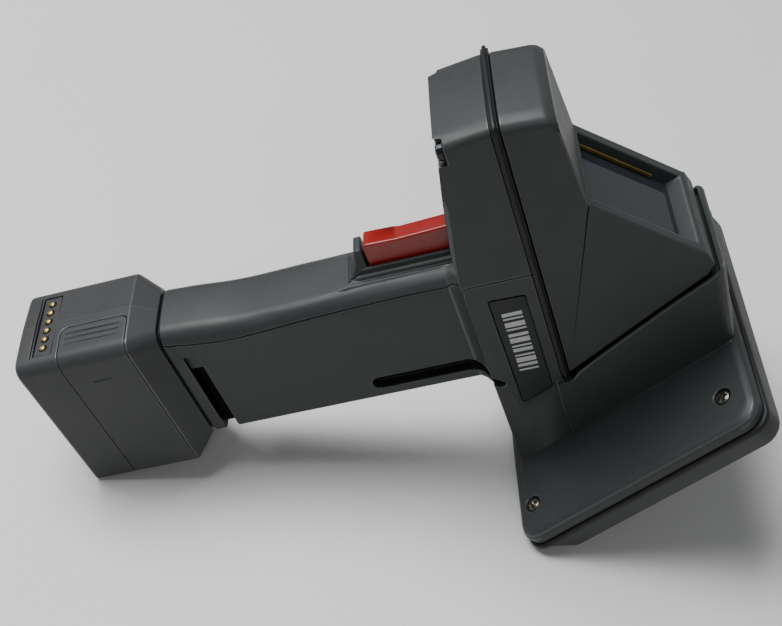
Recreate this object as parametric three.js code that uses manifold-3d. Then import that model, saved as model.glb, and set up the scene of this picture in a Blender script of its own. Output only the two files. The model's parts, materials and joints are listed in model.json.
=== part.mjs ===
// Handheld barcode scanner, lying on its back as it is put down on a counter.
// Units are millimetres. The gun's own axes are x along the handle from the battery base to the
// head, y across it, and z from the rear plate's side towards the trigger's side. The rear plate
// has axes of its own: y across, x' along the plate from its low end and z' outwards through the
// back cover. The whole gun is then tipped so that it rests on the base and on the back cover.
import * as THREE from "three";
import { mergeVertices } from "three/addons/utils/BufferGeometryUtils.js";
import Module from "manifold-3d";

const wasm = await Module();
wasm.setup();

// ---- Driving dimensions ----
const GAP = 0.3; // clearance between neighbouring pieces
const WALL = 2.6; // shell wall of the handle

const BASE_STRAIGHT = 39.5; // length of the straight part of the battery base
const BASE_END = 47.1; // end of its tapered shoulder
const BASE_HALF = 18; // half width of the base
const BASE_FRONT = 16.6; // front face of the base
const BASE_BACK = -45; // back face of the base
const BASE_WALL = 2.1;
const DOOR_LOW = 15.2; // battery door, from here
const DOOR_HIGH = 38.9; // to here along the base
const DOOR_TURN = -3.3; // the door wraps round the front corner to this y
const CONTACT_PITCH = 3.96;
const CONTACT_RADIUS = 1.15;
const CONTACT_X = 9.4;
const CONTACT_COUNT = 6;
const CELL_RADIUS = 7;
const CELL_LENGTH = 49.5;
const CELL_X = 27.3;
const CELL_SPREAD = 7.5; // the two cells lie at this y to either side

const HANDLE_START = 48.3;
const HANDLE_HALF = 12.4;
const HANDLE_BACK = -39.2;
const HEAD_START = 147.4; // underside of the head at the back
const HEAD_HALF = 18.6;
const HEAD_TOP = 169.9; // where the head gasket starts
const GASKET_THICKNESS = 2.6;
const NOSE = 67.8; // front face of the head at the gasket
const NOSE_DRAFT = 0.12; // slope of the front block's face, falling away from the gasket
const NOSE_CREST = 0.3; // height of the faint ridge down the middle of the front face
const HEAD_SEAM = 10; // height of the front and rear shells' seam in the head
const COLLAR_HALF = 20.2;
const COLLAR_END = 226.5;
const HOOD_START = HEAD_TOP + GASKET_THICKNESS;

const PLATE_ANGLE = THREE.MathUtils.degToRad(29.55); // rear plate's lean from the handle's axis
const PLATE_ORIGIN = new THREE.Vector3(148, 0, -80);
const PLATE_HALF = 51; // half width of the flange
const PLATE_LOW = -5;
const PLATE_HIGH = 90;
const FLANGE_DEPTH = 5.2; // front surface to the cover gasket
const COVER_TOP = 8.2; // the back cover's rim
const COVER_FACE = 16.8; // the back cover's outer face
const COVER_LIP = [2, COVER_FACE - 0.5]; // low edge that the scanner lies on
const SCREW_SPREAD = 38; // flange screws' y
const SCREW_ALONG = [2, 80];
const KEY_COLUMNS = 4;
const KEY_ROWS = 3;
const KEY_PITCH = [21, 14];
const KEY_SIZE = [16, 9];

const TRIGGER_HALF = 3.2;
const TRIGGER_LOW = 120.4; // low end of the trigger's blade
const TRIGGER_PIVOT = [155.5, 17];

// ---- Outlines and solids ----
const basis = (a, b, c) => new THREE.Matrix4().makeBasis(a, b, c);
const X = new THREE.Vector3(1, 0, 0);
const Y = new THREE.Vector3(0, 1, 0);
const Z = new THREE.Vector3(0, 0, 1);
const SIDE = basis(X, Z, Y.clone().negate()); // an outline in x and z, extruded across
const PLAN = basis(Y, Z, X); // an outline in y and z, extruded along the handle
const TOP = new THREE.Matrix4(); // an outline in x and y, extruded upwards
const plateX = new THREE.Vector3(Math.cos(PLATE_ANGLE), 0, Math.sin(PLATE_ANGLE));
const plateZ = new THREE.Vector3(Math.sin(PLATE_ANGLE), 0, -Math.cos(PLATE_ANGLE));
const PLATE = basis(Y, plateX, plateZ).setPosition(PLATE_ORIGIN);

// An outline's points, where a third number rounds the corner with an arc of that radius.
function outline(corners, steps = 4) {
  const points = [];
  corners.forEach(([a, b, radius = 0], i) => {
    const corner = new THREE.Vector2(a, b);
    if (radius === 0) {
      points.push(corner);
      return;
    }
    const before = corners[(i + corners.length - 1) % corners.length];
    const after = corners[(i + 1) % corners.length];
    const back = new THREE.Vector2(before[0], before[1]).sub(corner).normalize();
    const ahead = new THREE.Vector2(after[0], after[1]).sub(corner).normalize();
    const half = Math.acos(THREE.MathUtils.clamp(back.dot(ahead), -1, 1)) / 2;
    const middle = back.clone().add(ahead).normalize();
    const centre = corner.clone().addScaledVector(middle, radius / Math.sin(half));
    const from = corner.clone().addScaledVector(back, radius / Math.tan(half)).sub(centre);
    const to = corner.clone().addScaledVector(ahead, radius / Math.tan(half)).sub(centre);
    const sweep = Math.atan2(from.cross(to), from.dot(to));
    for (let k = 0; k <= steps; k++) {
      const turned = from.clone().rotateAround(new THREE.Vector2(), (sweep * k) / steps);
      points.push(turned.add(centre));
    }
  });
  return points;
}

function solidOf(geometry, matrix) {
  const loose = geometry.index ? geometry.toNonIndexed() : geometry;
  const bare = new THREE.BufferGeometry();
  bare.setAttribute("position", loose.getAttribute("position").clone());
  if (matrix) bare.applyMatrix4(matrix);
  const merged = mergeVertices(bare, 1e-4);
  const vertProperties = merged.attributes.position.array;
  const triVerts = new Uint32Array(merged.index.array);
  return new wasm.Manifold(new wasm.Mesh({ numProp: 3, vertProperties, triVerts }));
}

function extrude(corners, frame, from, to, steps = 4) {
  const shape = new THREE.Shape(outline(corners, steps));
  const geometry = new THREE.ExtrudeGeometry(shape, { depth: to - from, bevelEnabled: false });
  geometry.translate(0, 0, from);
  return solidOf(geometry, frame);
}

const slab = (corners, half, steps) => extrude(corners, SIDE, -half, half, steps);

function box(x0, x1, y0, y1, z0, z1) {
  const geometry = new THREE.BoxGeometry(x1 - x0, y1 - y0, z1 - z0);
  geometry.translate((x0 + x1) / 2, (y0 + y1) / 2, (z0 + z1) / 2);
  return solidOf(geometry);
}

// A closed skin through rings of equally many points, flat at both ends.
function loft(rings, frame) {
  const count = rings[0].length;
  const positions = [];
  const triangle = (...corners) => corners.forEach((p) => positions.push(p.x, p.y, p.z));
  const middle = (ring) => {
    const sum = ring.reduce((total, p) => total.add(p), new THREE.Vector3());
    return sum.divideScalar(count);
  };
  const first = rings[0];
  const last = rings[rings.length - 1];
  for (let j = 0; j < count; j++) {
    const next = (j + 1) % count;
    triangle(middle(first), first[next], first[j]);
    triangle(middle(last), last[j], last[next]);
    for (let i = 0; i + 1 < rings.length; i++) {
      const [low, high] = [rings[i], rings[i + 1]];
      triangle(low[j], low[next], high[next]);
      triangle(low[j], high[next], high[j]);
    }
  }
  const geometry = new THREE.BufferGeometry();
  geometry.setAttribute("position", new THREE.Float32BufferAttribute(positions, 3));
  return solidOf(geometry, frame);
}

// A ring of the handle or base: half width, front and back, their corner radii and the front's crest.
function section(x, half, front, back, frontRadius, backRadius, crest = 0) {
  const corners = [
    [-half, back, backRadius],
    [half, back, backRadius],
    [half, front, frontRadius],
    [0, front + crest],
    [-half, front, frontRadius],
  ];
  return outline(corners, 4).map((p) => new THREE.Vector3(x, p.x, p.y));
}

// A round solid turned about the vertical from (radius, height) pairs.
function turned(profile, segments = 16) {
  const points = profile.map(([r, h]) => new THREE.Vector2(r, h));
  return solidOf(new THREE.LatheGeometry(points, segments).rotateX(Math.PI / 2));
}

const rod = (radius, from, to, segments = 16) =>
  turned([[0, from], [radius, from], [radius, to], [0, to]], segments);
const move = (solid, x, y, z) => solid.translate([x, y, z]);
const turn = (solid, x, y, z) => solid.rotate([x, y, z]);
const mirrored = (solid) => solid.mirror([0, 1, 0]);
const joined = (solids) => solids.reduce((total, solid) => total.add(solid));

function geometryOf(solid) {
  const mesh = solid.getMesh();
  const geometry = new THREE.BufferGeometry();
  const stride = mesh.numProp;
  const positions = new Float32Array(mesh.numVert * 3);
  for (let i = 0; i < mesh.numVert; i++)
    positions.set(mesh.vertProperties.subarray(i * stride, i * stride + 3), i * 3);
  geometry.setAttribute("position", new THREE.BufferAttribute(positions, 3));
  geometry.setIndex(new THREE.BufferAttribute(mesh.triVerts, 1));
  geometry.computeVertexNormals();
  return geometry;
}

// ---- Materials ----
const finish = (color, roughness, metalness = 0) =>
  new THREE.MeshStandardMaterial({ color, roughness, metalness });
const shellPlastic = finish(0x3d4143, 0.5);
const basePlastic = finish(0x403f43, 0.5);
const blackRubber = finish(0x0d0e10, 0.6);
const redPlastic = finish(0xa81c14, 0.28);
const darkGlass = finish(0x22262c, 0.08);
const amber = finish(0x6a4c1a, 0.3);
const gold = finish(0xb8923c, 0.3, 1);
const steel = finish(0x8d9094, 0.35, 1);
const blackSteel = finish(0x17171a, 0.35, 1);
const platePrint = finish(0x24272a, 0.55);
const board = finish(0x1f5a35, 0.5);
const cellSleeve = finish(0x3c6a9a, 0.4);
const modulePlastic = finish(0x1b1c1f, 0.45);
const mirrorGlass = finish(0xc9ced2, 0.05, 1);
const displayGlass = finish(0x5d6b52, 0.15);
const keyRubber = finish(0x6f7376, 0.6);

// ---- Battery base ----
const baseOuter = () =>
  loft([
    section(0, BASE_HALF - 0.7, BASE_FRONT - 0.7, BASE_BACK + 0.7, 4, 1.2, 0.6),
    section(0.7, BASE_HALF, BASE_FRONT, BASE_BACK, 4.5, 1.5, 0.6),
    section(BASE_STRAIGHT, BASE_HALF, BASE_FRONT, BASE_BACK, 4.5, 1.5, 0.6),
    section(BASE_END, 12.7, 12.2, -38.4, 5, 2, 0.3),
  ]);
const CELL_BAY = {
  low: 17.2,
  high: 37.4,
  half: BASE_HALF - BASE_WALL,
  back: BASE_BACK + BASE_WALL,
  front: BASE_FRONT - BASE_WALL,
};
const cellBay = () =>
  box(CELL_BAY.low, CELL_BAY.high, -CELL_BAY.half - 4, CELL_BAY.half, CELL_BAY.back, CELL_BAY.front);

// The space of the battery door: the near wall and a strip of the front wall.
function doorSpace(shrink) {
  const low = DOOR_LOW + shrink;
  const high = DOOR_HIGH - shrink;
  const side = box(low, high, -30, -CELL_BAY.half - shrink, -60, 30);
  const front = extrude(
    [[low, -30], [high, -30], [high, DOOR_TURN - shrink, 2.5], [low, DOOR_TURN - shrink, 2.5]],
    TOP,
    CELL_BAY.front + shrink,
    30,
  );
  return side.add(front);
}

function baseHousing() {
  const capBay = box(2.2, 13.2, -15.6, 15.6, CELL_BAY.back, CELL_BAY.front);
  const wireWay = box(13, 18, 4, 12, CELL_BAY.back, -38);
  const stripHole = box(6.2, 12.8, -13.2, 13.2, 12, 30);
  const handleWay = box(36, 60, -8, 8, -26, 3);
  const slit = box(5.2, 5.8, -14, 14, BASE_FRONT - 0.5, 30);
  const hollow = joined([cellBay(), capBay, wireWay, stripHole, handleWay, slit]);
  return baseOuter().subtract(doorSpace(0)).subtract(hollow);
}

function batteryDoor() {
  const ribs = [-6, -8.3, -10.7].map((y) => box(17, 36.4, y - 0.55, y + 0.55, BASE_FRONT - 0.4, 30));
  const dash = box(22.7, 29.3, -BASE_HALF - 0.35, -BASE_HALF + 1, 3.4, 4.3);
  return baseOuter().intersect(doorSpace(GAP / 2)).subtract(joined(ribs)).add(dash);
}

function contactPlaces() {
  const first = (-(CONTACT_COUNT - 1) * CONTACT_PITCH) / 2;
  return Array.from({ length: CONTACT_COUNT }, (_, i) => first + i * CONTACT_PITCH);
}

function contactStrip() {
  const plate = box(6.5, 12.5, -12.9, 12.9, 13.2, 16.5);
  const holes = contactPlaces().map((y) => move(rod(CONTACT_RADIUS + GAP, 10, 20, 12), CONTACT_X, y, 0));
  return plate.subtract(joined(holes));
}

function contactPin() {
  const r = CONTACT_RADIUS;
  return turned([[0, 12.4], [r, 12.4], [r, 16.7], [0.7 * r, 17.1], [0, 17.2]], 10);
}

function batteryCell() {
  const r = CELL_RADIUS;
  const top = CELL_LENGTH;
  const foot = [[0, 0], [r - 0.6, 0], [r, 0.6]];
  const neck = [[r, top - 2.2], [r - 0.8, top - 1.4], [0, top - 1.4]];
  return turned([...foot, ...neck], 20).add(rod(2.7, top - 2, top, 20));
}

function batterySpringPlate() {
  const plate = box(18.4, 36.2, -14.4, 14.4, -42.6, -41.9);
  const cones = [-CELL_SPREAD, CELL_SPREAD].map((y) =>
    move(turned([[0, -42.2], [4.5, -42.2], [2.6, -36.6], [0, -36.6]], 12), CELL_X, y, 0),
  );
  return plate.add(joined(cones));
}

function baseSeal() {
  const ring = loft([
    section(BASE_END + GAP, 11.7, 11.1, -37.4, 4.5, 1.5, 0.3),
    section(HANDLE_START - GAP, 11.7, 11.1, -37.4, 4.5, 1.5, 0.3),
  ]);
  return ring.subtract(box(40, 60, -8, 8, -26, 3));
}

// A smooth run of points through the given ones.
function curved(points, steps) {
  const spline = new THREE.SplineCurve(points.map(([a, b]) => new THREE.Vector2(a, b)));
  return spline.getPoints(steps).map((p) => [p.x, p.y]);
}

// ---- Shells of the handle and head ----
// The handle's front face runs in a shallow waist behind the trigger.
const FRONT_LINE = curved(
  [
    [HANDLE_START, 12.2],
    [60, 11.3],
    [70.5, 10],
    [82, 9.7],
    [96, 10.1],
    [118, 10.4],
    [143.4, 10.6],
  ],
  14,
);
const SEAM_LINE = [
  ...curved(
    [
      [40, 8.6],
      [HANDLE_START, 7.4],
      [60, 5.4],
      [69, 4.4],
      [77, 4.4],
      [86, 4.9],
      [98, 5.6],
      [115, 6.2],
      [133, 6.4],
      [142.4, 6.1],
    ],
    20,
  ),
  [149.7, HEAD_SEAM],
  [240, HEAD_SEAM],
];

function handleOuter(inset = 0) {
  const back = HANDLE_BACK + inset;
  const round = 5.5 - inset / 2;
  const rings = FRONT_LINE.map(([x, front]) =>
    section(x, HANDLE_HALF - inset, front - inset, back, round, 3 - inset / 2, 0.3),
  );
  const flare = [
    [145.4, 13.6],
    [149, HEAD_HALF],
    [151, HEAD_HALF],
  ].map(([x, half]) => section(x, half - inset, 10.8 - inset, back, round, 2, 0.3));
  return loft([...rings, ...flare]);
}

function aboveSeam(offset) {
  const line = SEAM_LINE.map(([x, z]) => [x, z + offset]);
  return slab([...line, [240, 120], [40, 120]], 80);
}

// The head's cross section in y and z, seen along the handle.
function headPlan(half, front, back, crest, radius = 3.5) {
  return [
    [-half, back, 2],
    [half, back, 2],
    [half, front - 1.4, radius],
    [half - 5.4, front],
    [0, front + crest],
    [5.4 - half, front],
    [-half, front - 1.4, radius],
  ];
}

// The head's sections lofted along the handle from pairs of place and front face.
function headLoft(stations, back, radius) {
  const rings = stations.map(([x, front]) => {
    const plan = outline(headPlan(HEAD_HALF, front, back, NOSE_CREST, radius), 4);
    return plan.map((p) => new THREE.Vector3(x, p.x, p.y));
  });
  return loft(rings);
}

function frontBlock() {
  const side = slab(
    [
      [147.4, 5],
      [147.6, 11],
      [148.5, 26],
      [151.2, 45],
      [153.4, 58],
      [154.3, 80],
      [HEAD_TOP, 80],
      [HEAD_TOP, 5],
    ],
    40,
  );
  const low = 140;
  const face = headLoft(
    [
      [low, NOSE - NOSE_DRAFT * (HEAD_TOP - low)],
      [HEAD_TOP, NOSE],
    ],
    -30,
    2.6,
  );
  return side.intersect(face);
}

function triggerBoss() {
  const half = TRIGGER_HALF + 1.4;
  const rail = 14.2;
  const platform = slab([[108, 7], [112.8, 11.2], [117, rail], [149.5, rail], [149.5, 7]], half);
  const guardSide = slab(
    [
      [108, 7],
      [112.6, 10.6],
      [115.2, 14],
      [116.4, 18],
      [116.9, 21.3, 1.1],
      [TRIGGER_LOW - 1, 21.6, 0.8],
      [TRIGGER_LOW - 1, 7],
    ],
    half,
    3,
  );
  const guardPlan = [
    [-half, 7],
    [half, 7],
    [TRIGGER_HALF + 0.4, 21.8, 1.6],
    [-TRIGGER_HALF - 0.4, 21.8, 1.6],
  ];
  const guardFront = extrude(guardPlan, PLAN, 100, 130);
  const guard = guardSide.intersect(guardFront);
  const skirt = loft([
    section(105, 8.2, 10.2, 4, 1, 1),
    section(112, half + 3.4, 11, 4, 1, 1),
    section(149.5, half + 3.2, 11, 4, 1, 1),
  ]);
  const shoulder = loft([
    section(110, half, 9.8, 4, 1, 1),
    section(116, half + 1.3, 12.2, 4, 1, 1),
    section(149.5, half + 1.3, 12.2, 4, 1, 1),
  ]);
  return joined([platform, guard, skirt, shoulder]);
}

const HEAD_SCREW = [15.2, 61.2]; // y and z of the screws that face down from the nose
const HEAD_SCREW_SEAT = 156.2;

function headHollow() {
  return slab(
    [
      [150.9, -36],
      [151, 11],
      [152.2, 26],
      [155.1, 45],
      [157.4, 60],
      [157.6, 64.6],
      [175, 64.6],
      [175, -36],
    ],
    HEAD_HALF - 2.2,
  );
}

const handleHollow = () => handleOuter(WALL).add(box(47, 50, -9, 9, -35, 6));

function bladeSlot() {
  const half = TRIGGER_HALF + 0.4;
  return box(TRIGGER_LOW - 1, 154, -half, half, 5, 27);
}

function frontShell() {
  const outer = joined([handleOuter(), frontBlock(), triggerBoss()]).intersect(aboveSeam(GAP / 2));
  const [spotY, spotZ] = HEAD_SCREW;
  const hollow = headHollow().subtract(
    joined([-spotY, spotY].map((y) => box(150, 172, y - 5, y + 5, spotZ - 5.4, 80))),
  );
  const notch = turn(rod(4.4, 146, HEAD_SCREW_SEAT, 20), 0, 90, 0);
  const pilot = turn(rod(1.8, 150, 175, 10), 0, 90, 0);
  const screwWay = move(notch.add(pilot), 0, spotY, spotZ);
  const knuckles = [-1, 1].map((side) =>
    move(turn(rod(3.2, -1.6, 1.6, 14), 90, 0, 0), TRIGGER_PIVOT[0], side * 5.6, TRIGGER_PIVOT[1]).add(
      box(150, 154, side * 5.6 - 1.6, side * 5.6 + 1.6, 14, 20),
    ),
  );
  const pinHole = move(turn(rod(1.8, -9, 9, 12), 90, 0, 0), TRIGGER_PIVOT[0], 0, TRIGGER_PIVOT[1]);
  return outer
    .subtract(handleHollow())
    .subtract(hollow)
    .add(joined(knuckles))
    .subtract(joined([screwWay, mirrored(screwWay), bladeSlot(), pinHole]));
}

// Strap slot at the base end and belt-hook groove at the head end, cut into the -y side and then
// mirrored. The slot's first stretch is shallow, where the strap's bar bears.
const SLOT = { low: 52, high: 56.7, top: 0.4, step: -7, shallow: 1.6, deep: 4.8 };
const GROOVE = { low: 107.6, high: 141.6, top: -28.4, bottom: -33.8, deep: 3.8 };

function sideCuts() {
  const { low, high } = SLOT;
  const slotPlan = (top) => [[low, -60], [high, -60], [high, top, 0.8], [low, top, 0.8]];
  const step = extrude(slotPlan(SLOT.top), SIDE, HANDLE_HALF - SLOT.shallow, 30);
  const slot = extrude(slotPlan(SLOT.step), SIDE, HANDLE_HALF - SLOT.deep, 30);
  const groove = extrude(
    [
      [GROOVE.low, GROOVE.top, 2.5],
      [GROOVE.high, GROOVE.top, 4],
      [147, -32.6],
      [152.8, -37.7, 1],
      [149.4, -38.2, 0.6],
      [145, -35.2, 2],
      [141, GROOVE.bottom, 3],
      [GROOVE.low, GROOVE.bottom, 2.5],
    ],
    SIDE,
    HANDLE_HALF - GROOVE.deep,
    HEAD_HALF + 6,
    3,
  );
  return joined([step, slot, groove]);
}

// The handle's wall is thicker behind the slot and the groove.
function sideBacking() {
  const skin = HANDLE_HALF - 1;
  const wall = 1.3;
  const slotFloor = HANDLE_HALF - SLOT.deep - wall;
  const grooveFloor = HANDLE_HALF - GROOVE.deep - wall;
  const behindSlot = box(SLOT.low - wall, SLOT.high + 1, slotFloor, skin, -37.5, SLOT.top + 1.2);
  const behindGroove = box(
    GROOVE.low - wall,
    GROOVE.high + 2,
    grooveFloor,
    skin,
    GROOVE.bottom - wall,
    GROOVE.top + wall,
  );
  return behindSlot.add(behindGroove);
}

// The rear plate's outline as a ring at a given depth, drawn in by an inset.
function plateRing(depth, inset, lowInset = inset, radius = 7) {
  const corners = [
    [-PLATE_HALF + inset, PLATE_LOW + lowInset, radius],
    [PLATE_HALF - inset, PLATE_LOW + lowInset, radius],
    [PLATE_HALF - inset, PLATE_HIGH - inset, radius],
    [-PLATE_HALF + inset, PLATE_HIGH - inset, radius],
  ];
  return outline(corners, 5).map((p) => new THREE.Vector3(p.x, p.y, depth));
}

function plateBox(y0, y1, low, high, shallow, deep, radius = 0) {
  const corners = [
    [y0, low, radius],
    [y1, low, radius],
    [y1, high, radius],
    [y0, high, radius],
  ];
  return extrude(corners, PLATE, shallow, deep, 3);
}

const screwPlaces = SCREW_ALONG.flatMap((along) =>
  [-SCREW_SPREAD, SCREW_SPREAD].map((y) => new THREE.Vector3(y, along, 0)),
);
const inPlate = (solid) => solid.transform(PLATE.elements);
const atScrews = (solid) => joined(screwPlaces.map((p) => inPlate(move(solid, p.x, p.y, 0))));

function flange() {
  const outer = loft(
    [
      plateRing(0, 2.8),
      plateRing(0.35, 1.6),
      plateRing(1.1, 0.6),
      plateRing(2.4, 0),
      plateRing(FLANGE_DEPTH, 0),
    ],
    PLATE,
  );
  const pocket = plateBox(-48.4, 48.4, -2.4, 87.4, 2.6, 20, 5);
  return outer.subtract(pocket).add(atScrews(rod(4.6, 2, FLANGE_DEPTH, 14)));
}

// The collar's rim climbs beside the hood; its far end closes in a rounded wall.
const RIM_LINE = [
  [173, -40.4],
  [175.6, -37],
  [183.4, -31.4],
  [197.7, -21.7],
  [211.3, -12.8],
  [221, -7],
  [224.6, -4.4],
  [COLLAR_END, -3.3],
];
const onPlate = (along, depth) => [
  PLATE_ORIGIN.x + plateX.x * along + plateZ.x * depth,
  PLATE_ORIGIN.z + plateX.z * along + plateZ.z * depth,
];

function collarOuter() {
  const side = slab(
    [
      [168, -40.8],
      ...RIM_LINE,
      [COLLAR_END, -30],
      onPlate(89, 1.5),
      onPlate(22.6, 1.5),
      [167.4, -60],
    ],
    COLLAR_HALF,
  );
  const plan = extrude(
    [
      [160, -COLLAR_HALF],
      [COLLAR_END, -COLLAR_HALF, 4],
      [COLLAR_END, COLLAR_HALF, 4],
      [160, COLLAR_HALF],
    ],
    TOP,
    -90,
    20,
  );
  return side.intersect(plan);
}

function rearHeadOuter() {
  return slab(
    [
      [HEAD_START + 0.4, HEAD_SEAM - 4],
      [HEAD_START, -34],
      [HEAD_START + 0.5, -80.6],
      onPlate(0.5, 1.5),
      onPlate(23, 1.5),
      [169, -40.8],
      [HEAD_TOP, -40.8],
      [HEAD_TOP, HEAD_SEAM + 4],
      [148.6, HEAD_SEAM + 4],
    ],
    HEAD_HALF,
  );
}

// The well that the hood's lower edge drops into, and the hollow that leads on to the rear plate.
function collarWell() {
  const half = HEAD_HALF + GAP;
  return slab(
    [
      [HEAD_TOP - 0.1, -38],
      [174.4, -41.6],
      [184.6, -34.6],
      [198.8, -24.8],
      [212.4, -16],
      [222.3, -10],
      [224.6, -7.4],
      [224.6, 20],
      [HEAD_TOP - 0.1, 20],
    ],
    half,
  );
}

function rearHollow() {
  return slab(
    [
      [150.2, -30],
      [150.4, -74.5],
      onPlate(3, 4),
      onPlate(86, 4),
      [223, -30],
      [222, -9],
      [212, -15],
      [176, -37],
      [172, -10],
      [172, 20],
      [152.4, 20],
    ],
    HEAD_HALF - 2.2,
  );
}

const NAMEPLATE = [
  [154.3, 2.7, 0.8],
  [166.3, 2.2, 0.8],
  [166.4, -43, 0.8],
  [154.9, -49, 0.8],
];

function rearShell() {
  const body = handleOuter().add(rearHeadOuter()).subtract(aboveSeam(-GAP / 2));
  const outer = joined([body, collarOuter(), flange()]);
  const recess = extrude(NAMEPLATE, SIDE, HEAD_HALF - 0.9, 30, 2);
  const counterbore = rod(3, -3, 2, 16).add(rod(1.8, -3, 12, 10));
  const cuts = sideCuts().add(recess);
  const backing = sideBacking();
  return outer
    .subtract(handleHollow())
    .add(backing)
    .add(mirrored(backing))
    .subtract(rearHollow())
    .subtract(collarWell())
    .subtract(cuts)
    .subtract(mirrored(cuts))
    .subtract(bladeSlot())
    .subtract(atScrews(counterbore));
}

function nameplate() {
  const centre = [160.4, -22];
  const inset = NAMEPLATE.map(([x, z, r]) => {
    const towards = [Math.sign(centre[0] - x), Math.sign(centre[1] - z)];
    return [x + towards[0] * 0.4, z + towards[1] * 0.5, r];
  });
  return extrude(inset, SIDE, HEAD_HALF - 0.6, HEAD_HALF - 0.1, 2);
}

// ---- Hood with the scan window ----
const HOOD_SIDE = [
  [HOOD_START, 80],
  [187.7, 80],
  [188, 62],
  [191, 33, 2],
  [221.5, 3.4, 3.5],
  [223.5, -1.8, 2.5],
  [221, -6],
  [HOOD_START, -38],
];
const WINDOW_ORIGIN = [191, 33];
const WINDOW_SLOPE = Math.atan2(3.4 - 33, 221.5 - 191);
const RECESS = { low: 1.2, high: 37.8, half: 14.4, deep: 4.2 }; // the window recess at its glass

// Solids in the window's own frame: along the slope, across, and outwards.
function onSlope(solid) {
  const tilt = -THREE.MathUtils.radToDeg(WINDOW_SLOPE);
  return move(turn(solid, 0, tilt, 0), WINDOW_ORIGIN[0], 0, WINDOW_ORIGIN[1]);
}

const windowOutline = (t0, t1, half, radius) => [
  [t0, -half, radius],
  [t1, -half, radius],
  [t1, half, radius],
  [t0, half, radius],
];
const windowBox = (t0, t1, half, low, high, radius = 0) =>
  onSlope(extrude(windowOutline(t0, t1, half, radius), TOP, low, high, 3));

// The recess's walls lean outwards, most at its high end.
function windowRecess() {
  const ring = (t0, t1, half, depth) =>
    outline(windowOutline(t0, t1, half, 0.8), 3).map((p) => new THREE.Vector3(p.x, p.y, depth));
  const low = RECESS.low;
  return onSlope(
    loft([
      ring(low, RECESS.high, RECESS.half, -RECESS.deep - 1.6),
      ring(low, RECESS.high, RECESS.half, -RECESS.deep),
      ring(low - 0.2, RECESS.high + 2.3, RECESS.half + 0.8, 0),
      ring(low - 0.4, RECESS.high + 3.3, RECESS.half + 1.1, 1.8),
    ]),
  );
}

function upperHousing() {
  const plan = headLoft(
    [
      [HOOD_START, NOSE],
      [184.4, NOSE - 0.9],
      [186.2, NOSE - 1.6],
      [188.8, NOSE - 4.4],
      [240, NOSE - 4.4],
    ],
    -60,
    3.2,
  );
  const outer = slab(HOOD_SIDE, 40, 3).intersect(plan);
  const inner = slab(
    [
      [HOOD_START - 2, 63],
      [185.6, 63],
      [186.6, 26.6],
      [211.4, 2.4],
      [218.6, -4.6],
      [218, -5.8],
      [176, -33.4],
      [HOOD_START - 2, -33.4],
    ],
    HEAD_HALF - 2.2,
  );
  const opening = windowBox(RECESS.low + 1.4, RECESS.high - 1.4, RECESS.half - 1.4, -14, -2, 0.8);
  return outer.subtract(inner).subtract(opening).subtract(windowRecess());
}

function scanWindow() {
  const { low, high, half, deep } = RECESS;
  return windowBox(low + GAP, high - GAP, half - GAP, -deep - 1.3, -deep, 0.6);
}

// A strip of amber plastic along the low half of the glass's rim.
function windowTrim() {
  const { low, half, deep } = RECESS;
  const [reach, tall, thick] = [31, 1.5, 0.7];
  const outer = windowBox(low + GAP, reach, half - GAP, GAP - deep, tall - deep, 0.6);
  const middle = windowBox(low + GAP + thick, reach + 9, half - GAP - thick, -10, 5, 0.4);
  return outer.subtract(middle);
}

function headGasket() {
  const ring = (inset, from, to) =>
    extrude(headPlan(HEAD_HALF - inset, NOSE - inset, -38 + inset, NOSE_CREST, 1.8), PLAN, from, to);
  const shoulder = 0.55;
  const from = HEAD_TOP + GAP / 2;
  const to = HOOD_START - GAP / 2;
  return ring(-0.8, from, to).add(ring(-1.5, from + shoulder, to - shoulder)).subtract(ring(2.2, 160, 180));
}

// ---- Scan engine in the head ----
const laserModule = () => turned([[0, 0], [4.6, 0], [4.6, 12], [3.4, 13], [3.4, 16], [0, 16]], 14);

function mirrorWithShaft() {
  const glass = box(-0.6, 0.6, -5, 5, -4, 4);
  return glass.add(rod(1, -5.4, 6.6, 10));
}

function collectorLens() {
  return turned([[0, 0], [7, 0], [7.4, 0.6], [7.4, 1.6], [5.4, 3], [2.8, 3.9], [0, 4.2]], 20);
}

function beeper() {
  const can = [[0, 0], [8.4, 0], [8.4, 4.2], [7.6, 5]];
  const sound = [[1.2, 5], [1.2, 4.4], [0, 4.4]];
  return turned([...can, ...sound], 20);
}

// ---- Trigger group ----
function trigger() {
  const [px, pz] = TRIGGER_PIVOT;
  const blade = slab(
    [
      [TRIGGER_LOW, 22.8, 1.2],
      [TRIGGER_LOW, 9.2, 2],
      [140, 9.4],
      [148.4, 12.8],
      [px, pz - 4],
      [px + 3, pz + 1],
      [152.4, 23.4],
      [147, 23],
      [139, 22.6],
      [131, 22.3],
    ],
    TRIGGER_HALF,
    3,
  );
  const hub = move(turn(rod(4, -TRIGGER_HALF, TRIGGER_HALF, 16), 90, 0, 0), px, 0, pz);
  const bore = move(turn(rod(1.9, -9, 9, 12), 90, 0, 0), px, 0, pz);
  return blade.add(hub).subtract(bore);
}

const triggerPin = () =>
  move(turn(rod(1.5, -7, 7, 12), 90, 0, 0), TRIGGER_PIVOT[0], 0, TRIGGER_PIVOT[1]);

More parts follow.
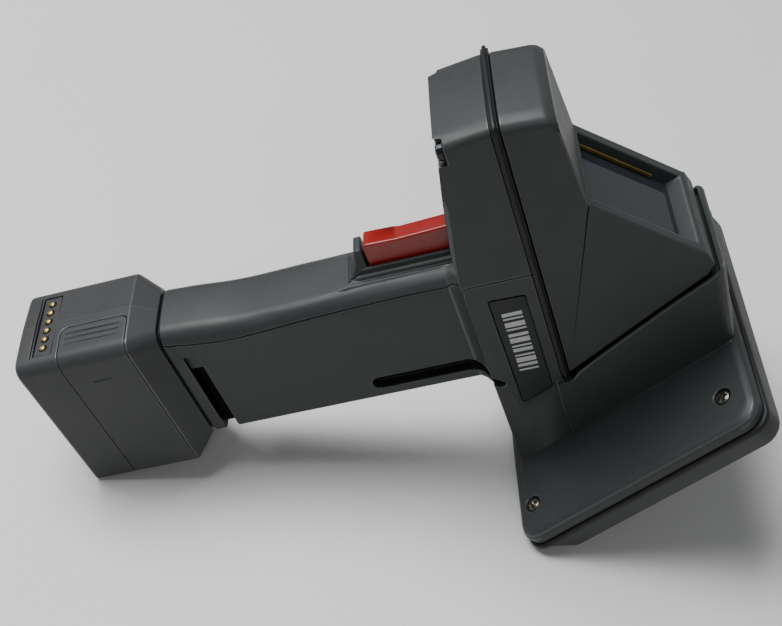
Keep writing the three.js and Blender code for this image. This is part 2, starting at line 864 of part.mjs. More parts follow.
function triggerSpring() {
  const wire = 0.45;
  const coil = { radius: 2.3, low: -9.6, high: 7.1, turns: 5 };
  const route = [];
  const stepsPerTurn = 8;
  for (let k = 0; k <= coil.turns * stepsPerTurn; k++) {
    const angle = (k * 2 * Math.PI) / stepsPerTurn;
    const height = coil.low + ((coil.high - coil.low) * k) / (coil.turns * stepsPerTurn);
    route.push(new THREE.Vector3(coil.radius * Math.cos(angle), coil.radius * Math.sin(angle), height));
  }
  const round = new THREE.Shape();
  round.absarc(0, 0, wire, 0, 2 * Math.PI);
  const geometry = new THREE.ExtrudeGeometry(round, {
    steps: coil.turns * stepsPerTurn,
    extrudePath: new THREE.CatmullRomCurve3(route),
    curveSegments: 3,
    bevelEnabled: false,
  });
  return move(solidOf(geometry), 128, 0, 0);
}

function triggerSwitch() {
  const body = box(133.4, 142.6, -3, 3, -10.6, 3.2);
  const plunger = move(rod(1.2, 3, 5.4, 10), 138.6, 0, 0);
  const pins = [135, 138, 141].map((x) => box(x - 0.4, x + 0.4, -3.6, -3, -10.4, -5));
  return joined([body, plunger, ...pins]);
}

function mainBoard() {
  const sheet = box(58, 143, -9, 9, -12.6, -11);
  const chips = [
    [64, 78, -8, 1, 2.4],
    [82, 98, -5, 7, 2.8],
    [104, 116, -8, 3, 2.2],
  ].map(([x0, x1, y0, y1, tall]) => box(x0, x1, y0, y1, -12.6 - tall, -12));
  return joined([sheet, ...chips]);
}

// ---- Rear plate: gasket, back cover, display and keys, in the plate's own frame ----
function coverGasket() {
  const ring = loft([
    plateRing(FLANGE_DEPTH + GAP, -0.2),
    plateRing(FLANGE_DEPTH + GAP + 0.4, -0.8),
    plateRing(COVER_TOP - GAP - 0.4, -0.8),
    plateRing(COVER_TOP - GAP, -0.2),
  ]);
  const middle = loft([plateRing(0, 3.4, 3.4, 5), plateRing(20, 3.4, 3.4, 5)]);
  return ring.subtract(middle);
}

const DISPLAY = { half: 34, low: 58, high: 81 };
const keyPlaces = [];
for (let row = 0; row < KEY_ROWS; row++)
  for (let column = 0; column < KEY_COLUMNS; column++)
    keyPlaces.push([(column - (KEY_COLUMNS - 1) / 2) * KEY_PITCH[0], 15 + row * KEY_PITCH[1]]);

function roundedBox(halfA, halfB, low, high, radius) {
  const corners = [
    [-halfA, -halfB, radius],
    [halfA, -halfB, radius],
    [halfA, halfB, radius],
    [-halfA, halfB, radius],
  ];
  return extrude(corners, TOP, low, high, 2);
}

function backCover() {
  const outer = loft([
    plateRing(COVER_TOP, 0.1, 0.4),
    plateRing(COVER_TOP + 3, 0.3, 3),
    plateRing(COVER_FACE - 1.5, 0.6, 6.4),
    plateRing(COVER_FACE - 0.5, 1.1, COVER_LIP[0] - PLATE_LOW, 6.4),
    plateRing(COVER_FACE, 2.1, 7.9, 6),
  ]);
  const inside = COVER_FACE - 2.4;
  const pocket = loft([plateRing(COVER_TOP - 2, 2.6, 4.4, 5), plateRing(inside, 2.8, 9, 5)]);
  const atEachScrew = (solid) => joined(screwPlaces.map((p) => move(solid, p.x, p.y, 0)));
  const bosses = atEachScrew(rod(4, COVER_TOP, inside + 0.8, 14));
  const pilots = atEachScrew(rod(1.8, 0, inside, 10));
  const centre = (DISPLAY.low + DISPLAY.high) / 2;
  const high = (DISPLAY.high - DISPLAY.low) / 2;
  const sight = move(roundedBox(DISPLAY.half - 2, high - 2, 8, 20, 1), 0, centre, 0);
  const seat = move(roundedBox(DISPLAY.half, high, COVER_FACE - 1.3, 20, 2), 0, centre, 0);
  const holes = keyPlaces.map(([y, along]) =>
    move(roundedBox(KEY_SIZE[0] / 2 + 0.35, KEY_SIZE[1] / 2 + 0.35, 8, 20, 2), y, along, 0),
  );
  return outer
    .subtract(pocket)
    .add(bosses.intersect(outer))
    .subtract(joined([pilots, sight, seat, ...holes]));
}

function displayLens() {
  const centre = (DISPLAY.low + DISPLAY.high) / 2;
  const high = (DISPLAY.high - DISPLAY.low) / 2;
  const lens = roundedBox(DISPLAY.half - GAP, high - GAP, COVER_FACE - 1, COVER_FACE - 0.1, 1.8);
  return move(lens, 0, centre, 0);
}

function displayModule() {
  const centre = (DISPLAY.low + DISPLAY.high) / 2;
  return move(box(-33, 33, -13, 11.5, 9.6, COVER_FACE - 2.8), 0, centre, 0);
}

function keypadBoard() {
  const last = keyPlaces[keyPlaces.length - 1];
  return box(-last[0] - 11, last[0] + 11, keyPlaces[0][1] - 5.6, last[1] + 7, 9, 10.2);
}

function key() {
  const [width, height] = KEY_SIZE;
  const stem = roundedBox(width / 2, height / 2, 11.8, COVER_FACE + 0.7, 1.8);
  return stem.add(roundedBox(width / 2 - 0.8, height / 2 - 0.8, 15, COVER_FACE + 1.4, 1.4));
}

function panScrew(radius, height, shaftRadius, length) {
  const recess = box(-radius * 0.62, radius * 0.62, -0.5, 0.5, -1, 1.1);
  const cross = recess.add(turn(recess, 0, 0, 90));
  const screw = turned(
    [
      [0, 0],
      [radius * 0.55, 0.05],
      [radius * 0.9, 0.55],
      [radius, height],
      [shaftRadius, height],
      [shaftRadius, length],
      [0, length],
    ],
    12,
  );
  return screw.subtract(cross);
}

// ---- Assembly ----
const scanner = new THREE.Group();
const gun = new THREE.Group();
const rearPlate = new THREE.Group();

function put(parent, name, solid, material) {
  const mesh = new THREE.Mesh(geometryOf(solid), material);
  mesh.name = name;
  parent.add(mesh);
  return mesh;
}

put(gun, "base_housing", baseHousing(), basePlastic);
put(gun, "battery_door", batteryDoor(), basePlastic);
put(gun, "contact_strip", contactStrip(), basePlastic);
contactPlaces().forEach((y, i) => {
  put(gun, "contact_" + (i + 1), contactPin(), gold).position.set(CONTACT_X, y, 0);
});
[-CELL_SPREAD, CELL_SPREAD].forEach((y, i) => {
  put(gun, "battery_cell_" + (i + 1), batteryCell(), cellSleeve).position.set(CELL_X, y, -36.2);
});
put(gun, "battery_spring_plate", batterySpringPlate(), gold);
put(gun, "base_seal", baseSeal(), blackRubber);

put(gun, "front_shell", frontShell(), shellPlastic);
put(gun, "rear_shell", rearShell(), shellPlastic);
put(gun, "nameplate_near", nameplate(), platePrint);
put(gun, "nameplate_far", mirrored(nameplate()), platePrint);
[-HEAD_SCREW[0], HEAD_SCREW[0]].forEach((y, i) => {
  const screw = put(gun, "head_screw_" + (i + 1), panScrew(2.9, 2.3, 1.4, 14), blackSteel);
  screw.rotation.y = Math.PI / 2;
  screw.position.set(HEAD_SCREW_SEAT - 2.6, y, HEAD_SCREW[1]);
});

put(gun, "head_gasket", headGasket(), blackRubber);
put(gun, "upper_housing", upperHousing(), shellPlastic);
put(gun, "scan_window", scanWindow(), darkGlass);
put(gun, "window_trim", windowTrim(), amber);

const engine = new THREE.Group();
engine.position.set(186, 0, -4);
engine.rotation.y = THREE.MathUtils.degToRad(67.5);
put(engine, "scan_mirror", mirrorWithShaft(), mirrorGlass);
put(engine, "mirror_motor", rod(5.6, 7.4, 17, 16), blackSteel);
gun.add(engine);
const laser = put(gun, "laser_module", laserModule(), steel);
laser.rotation.y = Math.PI / 2;
laser.position.set(158, 0, -4);
const lens = put(gun, "collector_lens", collectorLens(), mirrorGlass);
lens.rotation.y = THREE.MathUtils.degToRad(45);
lens.position.set(178, 0, 22);
const sounder = put(gun, "beeper", beeper(), modulePlastic);
sounder.rotation.y = -Math.PI / 2;
sounder.position.set(169, 0, 44);

put(gun, "trigger", trigger(), redPlastic);
put(gun, "trigger_pin", triggerPin(), steel);
put(gun, "trigger_spring", triggerSpring(), steel);
put(gun, "trigger_switch", triggerSwitch(), modulePlastic);
put(gun, "main_board", mainBoard(), board);

rearPlate.applyMatrix4(PLATE);
put(rearPlate, "cover_gasket", coverGasket(), blackRubber);
put(rearPlate, "back_cover", backCover(), shellPlastic);
put(rearPlate, "display_lens", displayLens(), darkGlass);
put(rearPlate, "display_module", displayModule(), displayGlass);
put(rearPlate, "keypad_board", keypadBoard(), board);
keyPlaces.forEach(([y, along], i) => {
  put(rearPlate, "key_" + (i + 1), key(), keyRubber).position.set(y, along, 0);
});
screwPlaces.forEach((p, i) => {
  put(rearPlate, "flange_screw_" + (i + 1), panScrew(2.6, 1.9, 1.4, 11), steel).position.copy(p);
});
gun.add(rearPlate);

// The gun lies on the base's back edge and on the low edge of the back cover.
const coverEdge = onPlate(...COVER_LIP);
const restAngle = Math.atan2(BASE_BACK - coverEdge[1], coverEdge[0]);
gun.rotation.y = -restAngle;
scanner.add(gun);

const bounds = new THREE.Box3().setFromObject(scanner, true);
const middle = bounds.getCenter(new THREE.Vector3());
gun.position.set(-middle.x, 0, -bounds.min.z);

export default scanner;
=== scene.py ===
"""The looks of the handheld barcode scanner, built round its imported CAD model."""

import json
import math

import bmesh
import bpy
from mathutils import Matrix, Vector
from mathutils.bvhtree import BVHTree


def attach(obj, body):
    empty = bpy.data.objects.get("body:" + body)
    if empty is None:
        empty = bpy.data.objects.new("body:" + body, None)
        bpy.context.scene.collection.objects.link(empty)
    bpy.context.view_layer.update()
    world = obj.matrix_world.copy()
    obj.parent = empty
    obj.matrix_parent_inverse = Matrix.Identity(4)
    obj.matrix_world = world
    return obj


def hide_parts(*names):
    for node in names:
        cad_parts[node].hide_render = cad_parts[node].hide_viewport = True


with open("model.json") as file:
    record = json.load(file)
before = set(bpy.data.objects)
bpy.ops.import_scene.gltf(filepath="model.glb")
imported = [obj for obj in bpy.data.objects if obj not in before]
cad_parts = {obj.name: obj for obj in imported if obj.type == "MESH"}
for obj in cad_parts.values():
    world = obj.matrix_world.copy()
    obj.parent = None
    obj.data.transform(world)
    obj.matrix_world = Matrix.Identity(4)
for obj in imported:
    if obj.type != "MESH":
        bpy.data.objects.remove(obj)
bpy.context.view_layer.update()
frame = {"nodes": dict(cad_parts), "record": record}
RECORD = frame["record"]
NODES = frame["nodes"]
MM = 0.001

SLOT_OF = {part["node"]: part["material_slot"] for part in RECORD["subparts"]}
BODIES = RECORD["behaviour"]["bodies"]
BODY_OF = {node: body for body, members in BODIES.items() for node in members}
MOUNTS = {m["name"]: m for m in RECORD["mounts"]}

# ---- The gun's own frame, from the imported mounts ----
BASE_END_BELOW_AXIS = 15 * MM
ALONG = -Vector(MOUNTS["base_end"]["axis"])
FRONT = Vector(MOUNTS["charging_face"]["axis"])
ACROSS = FRONT.cross(ALONG)
ORIGIN = Vector(MOUNTS["base_end"]["pos_m"]) + FRONT * BASE_END_BELOW_AXIS


def basis(a, b, c, place):
    """The frame with these three axes and this origin."""
    turn = Matrix((a, b, c)).transposed().to_4x4()
    turn.translation = place
    return turn


GUN = basis(ALONG, ACROSS, FRONT, ORIGIN)
TO_GUN = GUN.inverted()


# ---- Materials ----
class Nodes:
    """A material's node tree, with short ways to add the textures used here."""

    def __init__(self, name):
        self.material = bpy.data.materials.new(name)
        self.material.use_nodes = True
        self.tree = self.material.node_tree
        self.shader = self.tree.nodes["Principled BSDF"]
        self.place = self.add("ShaderNodeTexCoord").outputs["Object"]

    def add(self, kind, **settings):
        node = self.tree.nodes.new(kind)
        for key, value in settings.items():
            setattr(node, key, value)
        return node

    def link(self, output, target):
        self.tree.links.new(output, target)

    def noise(self, scale, detail=3.0, rough=0.55, stretch=None):
        node = self.add("ShaderNodeTexNoise")
        node.inputs["Scale"].default_value = scale
        node.inputs["Detail"].default_value = detail
        node.inputs["Roughness"].default_value = rough
        source = self.place
        if stretch:
            mapping = self.add("ShaderNodeMapping")
            mapping.inputs["Scale"].default_value = stretch
            self.link(source, mapping.inputs["Vector"])
            source = mapping.outputs["Vector"]
        self.link(source, node.inputs["Vector"])
        return node.outputs["Fac"]

    def ramp(self, value, stops):
        node = self.add("ShaderNodeValToRGB")
        ramp = node.color_ramp
        while len(ramp.elements) < len(stops):
            ramp.elements.new(0.5)
        for element, (at, colour) in zip(ramp.elements, stops):
            element.position = at
            element.color = (*colour, 1)
        self.link(value, node.inputs["Fac"])
        return node.outputs["Color"]

    def spread(self, value, low, high, near=0.3, far=0.7):
        node = self.add("ShaderNodeMapRange")
        node.inputs["From Min"].default_value = near
        node.inputs["From Max"].default_value = far
        node.inputs["To Min"].default_value = low
        node.inputs["To Max"].default_value = high
        self.link(value, node.inputs["Value"])
        return node.outputs["Result"]

    def mix(self, factor, a, b, blend="MIX"):
        node = self.add("ShaderNodeMix", data_type="RGBA", blend_type=blend)
        for socket, value in ((0, factor), (6, a), (7, b)):
            if hasattr(value, "links"):
                self.link(value, node.inputs[socket])
            elif socket == 0:
                node.inputs[socket].default_value = value
            else:
                node.inputs[socket].default_value = (*value, 1)
        return node.outputs[2]

    def bump(self, height, depth, strength=1.0, before=None):
        node = self.add("ShaderNodeBump")
        node.inputs["Distance"].default_value = depth
        node.inputs["Strength"].default_value = strength
        self.link(height, node.inputs["Height"])
        if before:
            self.link(before, node.inputs["Normal"])
        return node.outputs["Normal"]

    def finish(self, colour=None, roughness=None, normal=None, **constants):
        linked = ((colour, "Base Color"), (roughness, "Roughness"), (normal, "Normal"))
        for value, socket in linked:
            if value is not None:
                self.link(value, self.shader.inputs[socket])
        for key, value in constants.items():
            self.shader.inputs[key.replace("_", " ")].default_value = value
        return self.material


def scaled(colour, factor):
    return tuple(min(1, c * factor) for c in colour)


def moulded(name, colour, rough, grain=0.00003, specular=0.5, marks=0.16):
    """Satin moulded plastic: spark texture, flow marks, rubbed patches and fine scratches."""
    n = Nodes(name)
    flow = n.noise(26, 4, 0.6)
    mottle = n.noise(420, 3, 0.6)
    spark = n.noise(2600, 2, 0.7)
    scratch = n.noise(90, 5, 0.65, stretch=(1, 9, 2.2))
    rub = n.noise(60, 5, 0.7)
    tone = n.ramp(flow, [(0.3, scaled(colour, 0.93)), (0.72, scaled(colour, 1.07))])
    tone = n.mix(n.spread(mottle, 0, 0.35), tone, scaled(colour, 1.12))
    tone = n.mix(n.spread(scratch, 0, marks, 0.6, 0.75), tone, scaled(colour, 1.7))
    tone = n.mix(n.spread(spark, 0, 0.12), tone, scaled(colour, 0.75))
    gloss = n.add("ShaderNodeMath", operation="ADD")
    n.link(n.spread(rub, rough - 0.05, rough + 0.05), gloss.inputs[0])
    n.link(n.spread(mottle, -0.02, 0.02), gloss.inputs[1])
    fine = n.bump(spark, grain, 0.8)
    normal = n.bump(scratch, 0.00002, 0.25, before=fine)
    return n.finish(tone, gloss.outputs[0], normal, IOR=1.48, Specular_IOR_Level=specular)


def rubber(name, colour, rough):
    n = Nodes(name)
    dust = n.noise(700, 4, 0.7)
    patch = n.noise(60, 3)
    tone = n.mix(n.spread(dust, 0, 0.3, 0.55, 0.8), scaled(colour, 1), scaled(colour, 2.6))
    tone = n.mix(n.spread(patch, 0, 0.4), tone, scaled(colour, 0.8))
    normal = n.bump(n.noise(1500, 3), 0.00004, 0.5)
    roughness = n.spread(patch, rough - 0.06, rough + 0.08)
    return n.finish(tone, roughness, normal, IOR=1.45, Specular_IOR_Level=0.3)


def metal(name, colour, rough, turned=False, metallic=1.0):
    n = Nodes(name)
    stretch = (1, 1, 30) if turned else (14, 1, 14)
    lines = n.noise(900, 3, 0.6, stretch=stretch)
    patch = n.noise(260, 4, 0.65)
    tone = n.ramp(patch, [(0.35, scaled(colour, 0.78)), (0.7, scaled(colour, 1.12))])
    normal = n.bump(lines, 0.000012, 0.4)
    return n.finish(tone, n.spread(lines, rough - 0.06, rough + 0.08), normal, Metallic=metallic)


def gloss_red():
    n = Nodes("trigger_red")
    colour = (0.21, 0.0035, 0.0018)
    flow = n.noise(55, 3)
    wear = n.noise(240, 5, 0.7, stretch=(1, 4, 1))
    tone = n.ramp(flow, [(0.3, scaled(colour, 0.9)), (0.7, scaled(colour, 1.08))])
    tone = n.mix(n.spread(wear, 0, 0.12, 0.66, 0.85), tone, (0.5, 0.03, 0.02))
    orange_peel = n.noise(520, 2)
    normal = n.bump(orange_peel, 0.00002, 0.35)
    rough = n.spread(wear, 0.26, 0.34)
    coat = {"Coat_Weight": 0.2, "Coat_Roughness": 0.12}
    return n.finish(tone, rough, normal, IOR=1.48, Specular_IOR_Level=0.4, **coat)


def tinted_glass(name, colour, alpha):
    n = Nodes(name)
    haze = n.noise(120, 5, 0.6)
    dust = n.noise(1900, 2, 0.7)
    tone = n.mix(n.spread(dust, 0, 0.05, 0.74, 0.9), colour, (0.22, 0.23, 0.24))
    rough = n.spread(haze, 0.02, 0.07)
    return n.finish(tone, rough, None, IOR=1.52, Alpha=alpha, Specular_IOR_Level=0.5)


def amber():
    n = Nodes("amber_filter_plastic")
    cloud = n.noise(90, 4)
    tone = n.ramp(cloud, [(0.3, (0.085, 0.058, 0.014)), (0.7, (0.12, 0.085, 0.022))])
    normal = n.bump(n.noise(800, 2), 0.00002, 0.3)
    return n.finish(tone, n.spread(cloud, 0.2, 0.32), normal, IOR=1.5, Coat_Weight=0.3)


def circuit():
    n = Nodes("circuit_board_mask")
    cells = n.add("ShaderNodeTexVoronoi")
    cells.distance = "MANHATTAN"
    cells.inputs["Scale"].default_value = 420
    n.link(n.place, cells.inputs["Vector"])
    track = n.spread(cells.outputs["Distance"], 0, 1, 0.3, 0.34)
    tone = n.mix(track, (0.012, 0.10, 0.035), (0.03, 0.17, 0.065))
    normal = n.bump(track, 0.00004, 0.6)
    return n.finish(tone, n.spread(n.noise(200), 0.32, 0.46), normal, IOR=1.5)


def liquid_crystal():
    n = Nodes("display_panel")
    grid = n.add("ShaderNodeTexChecker")
    grid.inputs["Scale"].default_value = 1600
    n.link(n.place, grid.inputs["Vector"])
    cloud = n.noise(40, 3)
    base = n.ramp(cloud, [(0.3, (0.15, 0.19, 0.12)), (0.7, (0.20, 0.25, 0.15))])
    tone = n.mix(0.16, base, grid.outputs["Color"], "MULTIPLY")
    return n.finish(tone, n.spread(cloud, 0.3, 0.42), None, IOR=1.5)


def sleeve():
    n = Nodes("cell_sleeve_film")
    cloud = n.noise(110, 4)
    tone = n.ramp(cloud, [(0.3, (0.03, 0.09, 0.22)), (0.7, (0.05, 0.13, 0.3))])
    normal = n.bump(n.noise(300, 3, stretch=(3, 3, 0.4)), 0.00008, 0.4)
    return n.finish(tone, n.spread(cloud, 0.2, 0.34), normal, IOR=1.5)


def mirror():
    n = Nodes("silvered_optics")
    dust = n.noise(1600, 3, 0.7)
    tone = n.ramp(dust, [(0.5, (0.85, 0.87, 0.88)), (0.8, (0.6, 0.62, 0.62))])
    return n.finish(tone, n.spread(dust, 0.03, 0.12), None, Metallic=1.0)


def printed_plate():
    n = Nodes("plate_film")
    colour = (0.009, 0.0105, 0.011)
    cloud = n.noise(300, 4)
    tone = n.ramp(cloud, [(0.3, scaled(colour, 0.9)), (0.7, scaled(colour, 1.15))])
    normal = n.bump(n.noise(2400, 2), 0.00002, 0.6)
    return n.finish(tone, n.spread(cloud, 0.4, 0.52), normal, IOR=1.45, Specular_IOR_Level=0.3)


def silver_ink():
    n = Nodes("silver_ink")
    wear = n.noise(900, 4, 0.7)
    tone = n.ramp(wear, [(0.35, (0.30, 0.31, 0.31)), (0.7, (0.44, 0.45, 0.45))])
    return n.finish(tone, n.spread(wear, 0.34, 0.5), n.bump(wear, 0.00002, 0.5), Metallic=0.35)


SHELL = (0.027, 0.0305, 0.0315)
BASE = (0.033, 0.0345, 0.0363)
MATERIALS = {
    "shell_plastic": moulded("shell_plastic_satin", SHELL, 0.47, specular=0.3),
    "base_plastic": moulded("base_plastic_satin", BASE, 0.48, specular=0.3),
    "black_rubber": rubber("gasket_rubber", (0.008, 0.008, 0.0095), 0.5),
    "red_plastic": gloss_red(),
    "window_glass": tinted_glass("scan_window_glass", (0.02, 0.0235, 0.029), 0.75),
    "display_glass": tinted_glass("display_lens_glass", (0.01, 0.012, 0.012), 0.35),
    "amber_plastic": amber(),
    "contact_gold": metal("gold_plating", (0.56, 0.43, 0.17), 0.34),
    "screw_steel": metal("screw_steel_dark", (0.16, 0.145, 0.12), 0.34, turned=True),
    "black_steel": metal("black_oxide_steel", (0.045, 0.045, 0.05), 0.3, turned=True),
    "plate_print": printed_plate(),
    "inner_plastic": moulded("inner_plastic_black", (0.035, 0.036, 0.04), 0.42),
    "circuit_board": circuit(),
    "cell_sleeve": sleeve(),
    "display_green": liquid_crystal(),
    "optics": mirror(),
    "key_rubber": moulded("key_silicone", (0.15, 0.158, 0.16), 0.55, marks=0.05),
}
# Painted highlight: lighter, glossier copies of the shell and base plastics for the rounded-over
# edges, standing for the light lines that those edges catch.
EDGE_PAINTED_HIGHLIGHTS = {
    "shell_plastic": moulded("shell_plastic_edge_painted_highlight", scaled(SHELL, 1.45), 0.34, grain=0.00001),
    "base_plastic": moulded("base_plastic_edge_painted_highlight", scaled(BASE, 1.3), 0.36, grain=0.00001),
}
INK = silver_ink()
# Painted shade: a near-black and a darkened copy of the shell plastic, put on the faces of the
# strap slots and the belt-hook grooves where shade falls.
SLOT_PAINTED_SHADE = moulded("strap_slot_painted_shade", scaled(SHELL, 0.12), 0.6, specular=0.1)
GROOVE_PAINTED_SHADE = moulded("hook_groove_painted_shade", scaled(SHELL, 0.4), 0.5, specular=0.3)

# ---- Pieces ----
# Which edges are rounded over, and which faces are one flat area.
SHARP = math.radians(27)
FLAT = math.radians(0.8)
FLAT_AFTER_ROUNDING = math.radians(0.3)
SHADED_ACROSS = math.radians(50)
SLIVER = 0.06 * MM
# A neighbouring edge bounds a rounding unless it runs on from the edge's end, by this cosine.
RUNS_ON = -0.6
# Parts of a rounding's width: the most room it takes, the least it is made at, and how far
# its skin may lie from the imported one.
ROOM_TAKEN = 0.48
LEAST_SHARE = 0.2
STRAY = 0.36
ATTEMPTS = 8


def clean(mesh, weld):
    """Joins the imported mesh's split corners and merges its coplanar triangles."""
    bm = bmesh.new()
    bm.from_mesh(mesh)
    bmesh.ops.remove_doubles(bm, verts=bm.verts, dist=weld)
    bmesh.ops.dissolve_degenerate(bm, edges=bm.edges, dist=weld)
    bmesh.ops.dissolve_limit(bm, angle_limit=FLAT, verts=bm.verts, edges=bm.edges)
    many = [face for face in bm.faces if len(face.verts) > 4]
    bmesh.ops.triangulate(bm, faces=many, quad_method="BEAUTY", ngon_method="BEAUTY")
    bmesh.ops.recalc_face_normals(bm, faces=bm.faces)
    return bm


def smooth(mesh, angle):
    mesh.shade_smooth()
    mesh.set_sharp_from_angle(angle=angle)


def baked(obj):
    """Replaces an object's mesh by what its modifiers make of it."""
    bpy.context.view_layer.update()
    graph = bpy.context.evaluated_depsgraph_get()
    mesh = bpy.data.meshes.new_from_object(obj.evaluated_get(graph), depsgraph=graph)
    obj.modifiers.clear()
    obj.data = mesh


def room_beside(edge):
    """How far an edge can be rounded over before it meets a neighbouring corner."""
    room = 1.0
    for vert in edge.verts:
        along = (edge.other_vert(vert).co - vert.co).normalized()
        for other in vert.link_edges:
            if other == edge:
                continue
            away = other.other_vert(vert).co - vert.co
            if away.length and along.dot(away.normalized()) > RUNS_ON:
                room = min(room, along.cross(away).length)
    return room


def is_sliver(face):
    """A face too thin for its normal to mean anything."""
    return 2 * face.calc_area() < SLIVER * max(edge.calc_length() for edge in face.edges)


def rounded(name, bm, width, segments, slot):
    """The mesh with its weighted edges rounded over, as a new object."""
    mesh = bpy.data.meshes.new(name)
    bm.to_mesh(mesh)
    obj = bpy.data.objects.new(name, mesh)
    bpy.context.scene.collection.objects.link(obj)
    mesh.materials.append(MATERIALS[slot])
    bevel = obj.modifiers.new("edges", "BEVEL")
    bevel.limit_method = "WEIGHT"
    bevel.width = width
    bevel.segments = segments
    bevel.use_clamp_overlap = False
    bevel.miter_outer = "MITER_SHARP"
    # The rounding's own faces take the painted-highlight copy of the plastic, where there is one.
    if slot in EDGE_PAINTED_HIGHLIGHTS:
        mesh.materials.append(EDGE_PAINTED_HIGHLIGHTS[slot])
        bevel.material = 1
    baked(obj)
    return obj


def merge_flats(mesh):
    """Makes each flat area one face again, so that its corners share its own normal."""
    bm = bmesh.new()
    bm.from_mesh(mesh)
    bmesh.ops.dissolve_limit(
        bm, angle_limit=FLAT_AFTER_ROUNDING, verts=bm.verts, edges=bm.edges, delimit={"MATERIAL"}
    )
    bm.to_mesh(mesh)
    bm.free()


def refine(node, width, segments=2, weld=0.00004, share=None):
    """A finer copy of a CAD node, with its edges rounded over, that stands for it.
    share gives an edge's own part of the width, or None for what its angle says."""
    width *= MM
    slot = SLOT_OF[node]
    bm = clean(NODES[node].data, weld)
    skin = BVHTree.FromBMesh(bm)
    weights = bm.edges.layers.float.new("bevel_weight_edge")
    for edge in bm.edges:
        if len(edge.link_faces) != 2 or any(is_sliver(face) for face in edge.link_faces):
            continue
        own = share(edge) if share else None
        part = own if own is not None else float(edge.calc_face_angle(0) > SHARP)
        weight = min(part, ROOM_TAKEN * room_beside(edge) / width)
        edge[weights] = weight if weight > LEAST_SHARE * part else 0.0
    for attempts_left in reversed(range(ATTEMPTS)):
        obj = rounded(node + "_fine", bm, width, segments, slot)
        stray = [(v.co.copy(), skin.find_nearest(v.co)[3]) for v in obj.data.vertices]
        stray = [(place, off) for place, off in stray if off > STRAY * width]
        if not stray or not attempts_left:
            break
        for edge in bm.edges:
            if edge[weights] and any(
                (v.co - place).length < off + 2 * width for v in edge.verts for place, off in stray
            ):
                edge[weights] = 0.0
        bpy.data.objects.remove(obj)
    bm.free()
    merge_flats(obj.data)
    smooth(obj.data, SHADED_ACROSS)
    weighted = obj.modifiers.new("normals", "WEIGHTED_NORMAL")
    weighted.keep_sharp = True
    weighted.weight = 60
    baked(obj)
    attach(obj, BODY_OF[node])
    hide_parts(node)
    return obj


def printed(name, boxes, body):
    """One piece of ink, made of thin boxes given by opposite corners in the gun's frame."""
    bm = bmesh.new()
    for low, high in boxes:
        made = bmesh.ops.create_cube(bm, size=1)["verts"]
        for v in made:
            for i in range(3):
                v.co[i] = (low[i] if v.co[i] < 0 else high[i]) * MM
    bm.transform(GUN)
    mesh = bpy.data.meshes.new(name)
    bm.to_mesh(mesh)
    bm.free()
    mesh.materials.append(INK)
    obj = bpy.data.objects.new(name, mesh)
    bpy.context.scene.collection.objects.link(obj)
    smooth(mesh, SHARP)
    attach(obj, body)
    return obj


# Regions of the gun in its own frame, in mm: the ranges of x, of the distance from the middle
# plane, and of z.
STRAP_SLOT = ((51.9, 56.8), (7.4, 12.1), (-math.inf, -6.9))
HOOK_GROOVE = ((107.4, 146), (8.4, 12.1), (-34, -28.2))
UNDERSIDE_CORNER = ((-math.inf, 156), (16, math.inf), (12, 60))
BASE_RIDGE = ((-math.inf, math.inf), (-math.inf, 0.1), (10, math.inf))
RIDGE_ANGLE = 0.04
RIDGE_SHARE = 0.5
FINE_SHARE = 0.32


def lies_in(point, region):
    """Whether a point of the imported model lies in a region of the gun."""
    place = (TO_GUN @ point) / MM
    values = (place.x, abs(place.y), place.z)
    return all(low < value < high for value, (low, high) in zip(values, region))


def edge_in(edge, region):
    return all(lies_in(v.co, region) for v in edge.verts)


def paint_recess_shade(obj):
    """Paints shade onto the strap slots' and belt-hook grooves' floors and walls: near-black and
    darkened copies of the shell plastic stand for the shade inside them.
    """
    slot_index = len(obj.data.materials)
    obj.data.materials.append(SLOT_PAINTED_SHADE)
    obj.data.materials.append(GROOVE_PAINTED_SHADE)
    for face in obj.data.polygons:
        if lies_in(face.center, STRAP_SLOT):
            face.material_index = slot_index
        elif lies_in(face.center, HOOK_GROOVE):
            face.material_index = slot_index + 1


def head_share(edge):
    """The front shell: soft corners between the head's underside and its sides, else fine."""
    if edge.calc_face_angle(0) < SHARP:
        return 0.0
    return 1.0 if edge_in(edge, UNDERSIDE_CORNER) else FINE_SHARE


def base_share(edge):
    """The base: a fine ridge down its front face."""
    ridge = edge_in(edge, BASE_RIDGE) and edge.calc_face_angle(0) > RIDGE_ANGLE
    return RIDGE_SHARE if ridge else None


for name, width, segments in (
    ("back_cover", 0.4, 2),
    ("contact_strip", 0.15, 1),
    ("head_gasket", 0.35, 2),
    ("cover_gasket", 0.3, 2),
    ("base_seal", 0.2, 1),
    ("window_trim", 0.2, 1),
    ("display_module", 0.3, 2),
    ("beeper", 0.3, 2),
    ("trigger_switch", 0.2, 1),
    ("main_board", 0.1, 1),
    ("keypad_board", 0.1, 1),
    ("laser_module", 0.25, 2),
    ("mirror_motor", 0.3, 2),
    ("battery_spring_plate", 0.12, 1),
    ("scan_window", 0.2, 2),
    ("display_lens", 0.2, 2),
    ("trigger_pin", 0.3, 2),
):
    refine(name, width, segments)
# The rear shell's strap slots and hook grooves get the painted shade.
paint_recess_shade(refine("rear_shell", 0.45, 2))
refine("base_housing", 0.45, 2, share=base_share)
refine("battery_door", 0.35, 2, share=base_share)
refine("front_shell", 1.4, 3, share=head_share)
refine("upper_housing", 0.6, 3)
refine("trigger", 0.8, 4)
for i in range(1, 13):
    refine(f"key_{i}", 0.5, 3)
for i in (1, 2):
    refine(f"head_screw_{i}", 0.14, 2, weld=0.00002)
    refine(f"battery_cell_{i}", 0.25, 2)
for i in range(1, 5):
    refine(f"flange_screw_{i}", 0.14, 2, weld=0.00002)
for i in range(1, 7):
    refine(f"contact_{i}", 0.16, 2, weld=0.00002)

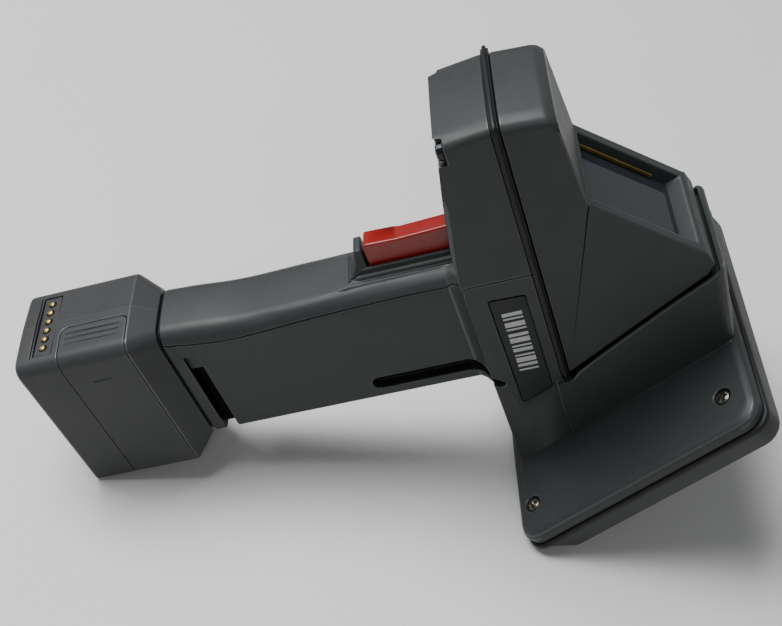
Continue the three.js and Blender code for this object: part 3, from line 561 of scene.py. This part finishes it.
# Printed plates on both sides of the head: a dark film with generic bars, in mm. The heights are
# of bar and gap in turn, downwards from the first bar.
BAR_HEIGHTS = (
    1.6, 0.8, 0.8, 1.2, 2.2, 0.8, 0.8, 1.6, 1.4, 0.8, 2.2, 1.2,
    0.8, 0.8, 1.6, 1.4, 0.8, 0.8, 2.2, 0.8, 1.4, 1.2, 0.8,
)
BARS_TOP = -4.2
BARS_START, BARS_END = 157.2, 163.6
INK_SUNK, INK_PROUD = 0.03, 0.04
for node, side in (("nameplate_near", -1), ("nameplate_far", 1)):
    plate = refine(node, 0.2, 2)
    top = max((TO_GUN @ v.co).y * side for v in plate.data.vertices) / MM
    skin = sorted((side * (top - INK_SUNK), side * (top + INK_PROUD)))
    bars = []
    z = BARS_TOP
    for i, tall in enumerate(BAR_HEIGHTS):
        if i % 2 == 0:
            bars.append(((BARS_START, skin[0], z - tall), (BARS_END, skin[1], z)))
        z -= tall
    printed(node + "_bars", bars, "housing")

for node, obj in NODES.items():
    if not obj.hide_render:
        obj.data.materials.clear()
        obj.data.materials.append(MATERIALS[SLOT_OF[node]])

# ---- Floor, light and camera ----
def table_top():
    n = Nodes("pale_table")
    cloud = n.noise(3, 3)
    fibre = n.noise(260, 4, 0.6, stretch=(1, 3, 1))
    tone = n.ramp(cloud, [(0.3, (0.60, 0.60, 0.585)), (0.7, (0.64, 0.64, 0.628))])
    tone = n.mix(n.spread(fibre, 0, 0.1), tone, (0.5, 0.5, 0.49))
    return n.finish(tone, n.spread(fibre, 0.5, 0.62), n.bump(fibre, 0.0001, 0.12), IOR=1.45)


FLOOR_HALF_WIDTH = 3
FLOOR_GAP = 0.2 * MM
bm = bmesh.new()
bmesh.ops.create_grid(bm, x_segments=1, y_segments=1, size=FLOOR_HALF_WIDTH)
floor_mesh = bpy.data.meshes.new("floor")
bm.to_mesh(floor_mesh)
bm.free()
floor_mesh.materials.append(table_top())
floor = bpy.data.objects.new("floor", floor_mesh)
floor.location.z = -FLOOR_GAP
bpy.context.scene.collection.objects.link(floor)


def soft_light(name, place, aim, size, watts):
    data = bpy.data.lights.new(name, "AREA")
    data.shape = "RECTANGLE"
    data.size, data.size_y = size
    data.energy = watts
    light = bpy.data.objects.new(name, data)
    light.location = place
    light.rotation_euler = (Vector(aim) - Vector(place)).to_track_quat("-Z", "Y").to_euler()
    bpy.context.scene.collection.objects.link(light)


soft_light("overhead", (-0.45, 0.3, 1.36), (0, 0, 0), (0.8, 0.9), 38)
soft_light("behind_viewer", (0.05, -1.15, 1.2), (0, 0, 0.05), (0.4, 0.3), 3.4)
soft_light("back_wall", (1.2, 1.5, 0.65), (0, 0, 0.05), (1.6, 0.9), 1.5)
world = bpy.data.worlds.new("studio")
bpy.context.scene.world = world
world.use_nodes = True
background = world.node_tree.nodes["Background"]
background.inputs["Color"].default_value = (0.93, 0.96, 1.0, 1)
background.inputs["Strength"].default_value = 0.18

# The view: where the eye stands and how it is turned, in the gun's own frame.
EYE = GUN @ Vector((0.197399, -0.283839, 0.275429))
VIEW = Vector((-0.188898, 0.690114, -0.698613))
UP = Vector((0.209113, 0.723373, 0.65803))
turn = GUN.to_3x3()
look = (turn @ VIEW).normalized()
right = look.cross(turn @ UP).normalized()
camera_data = bpy.data.cameras.new("camera")
camera_data.sensor_width = 36
camera_data.lens = 57.244
camera_data.clip_start = 0.01
camera = bpy.data.objects.new("camera", camera_data)
camera.matrix_world = basis(right, right.cross(look), -look, EYE)
bpy.context.scene.collection.objects.link(camera)
bpy.context.scene.camera = camera
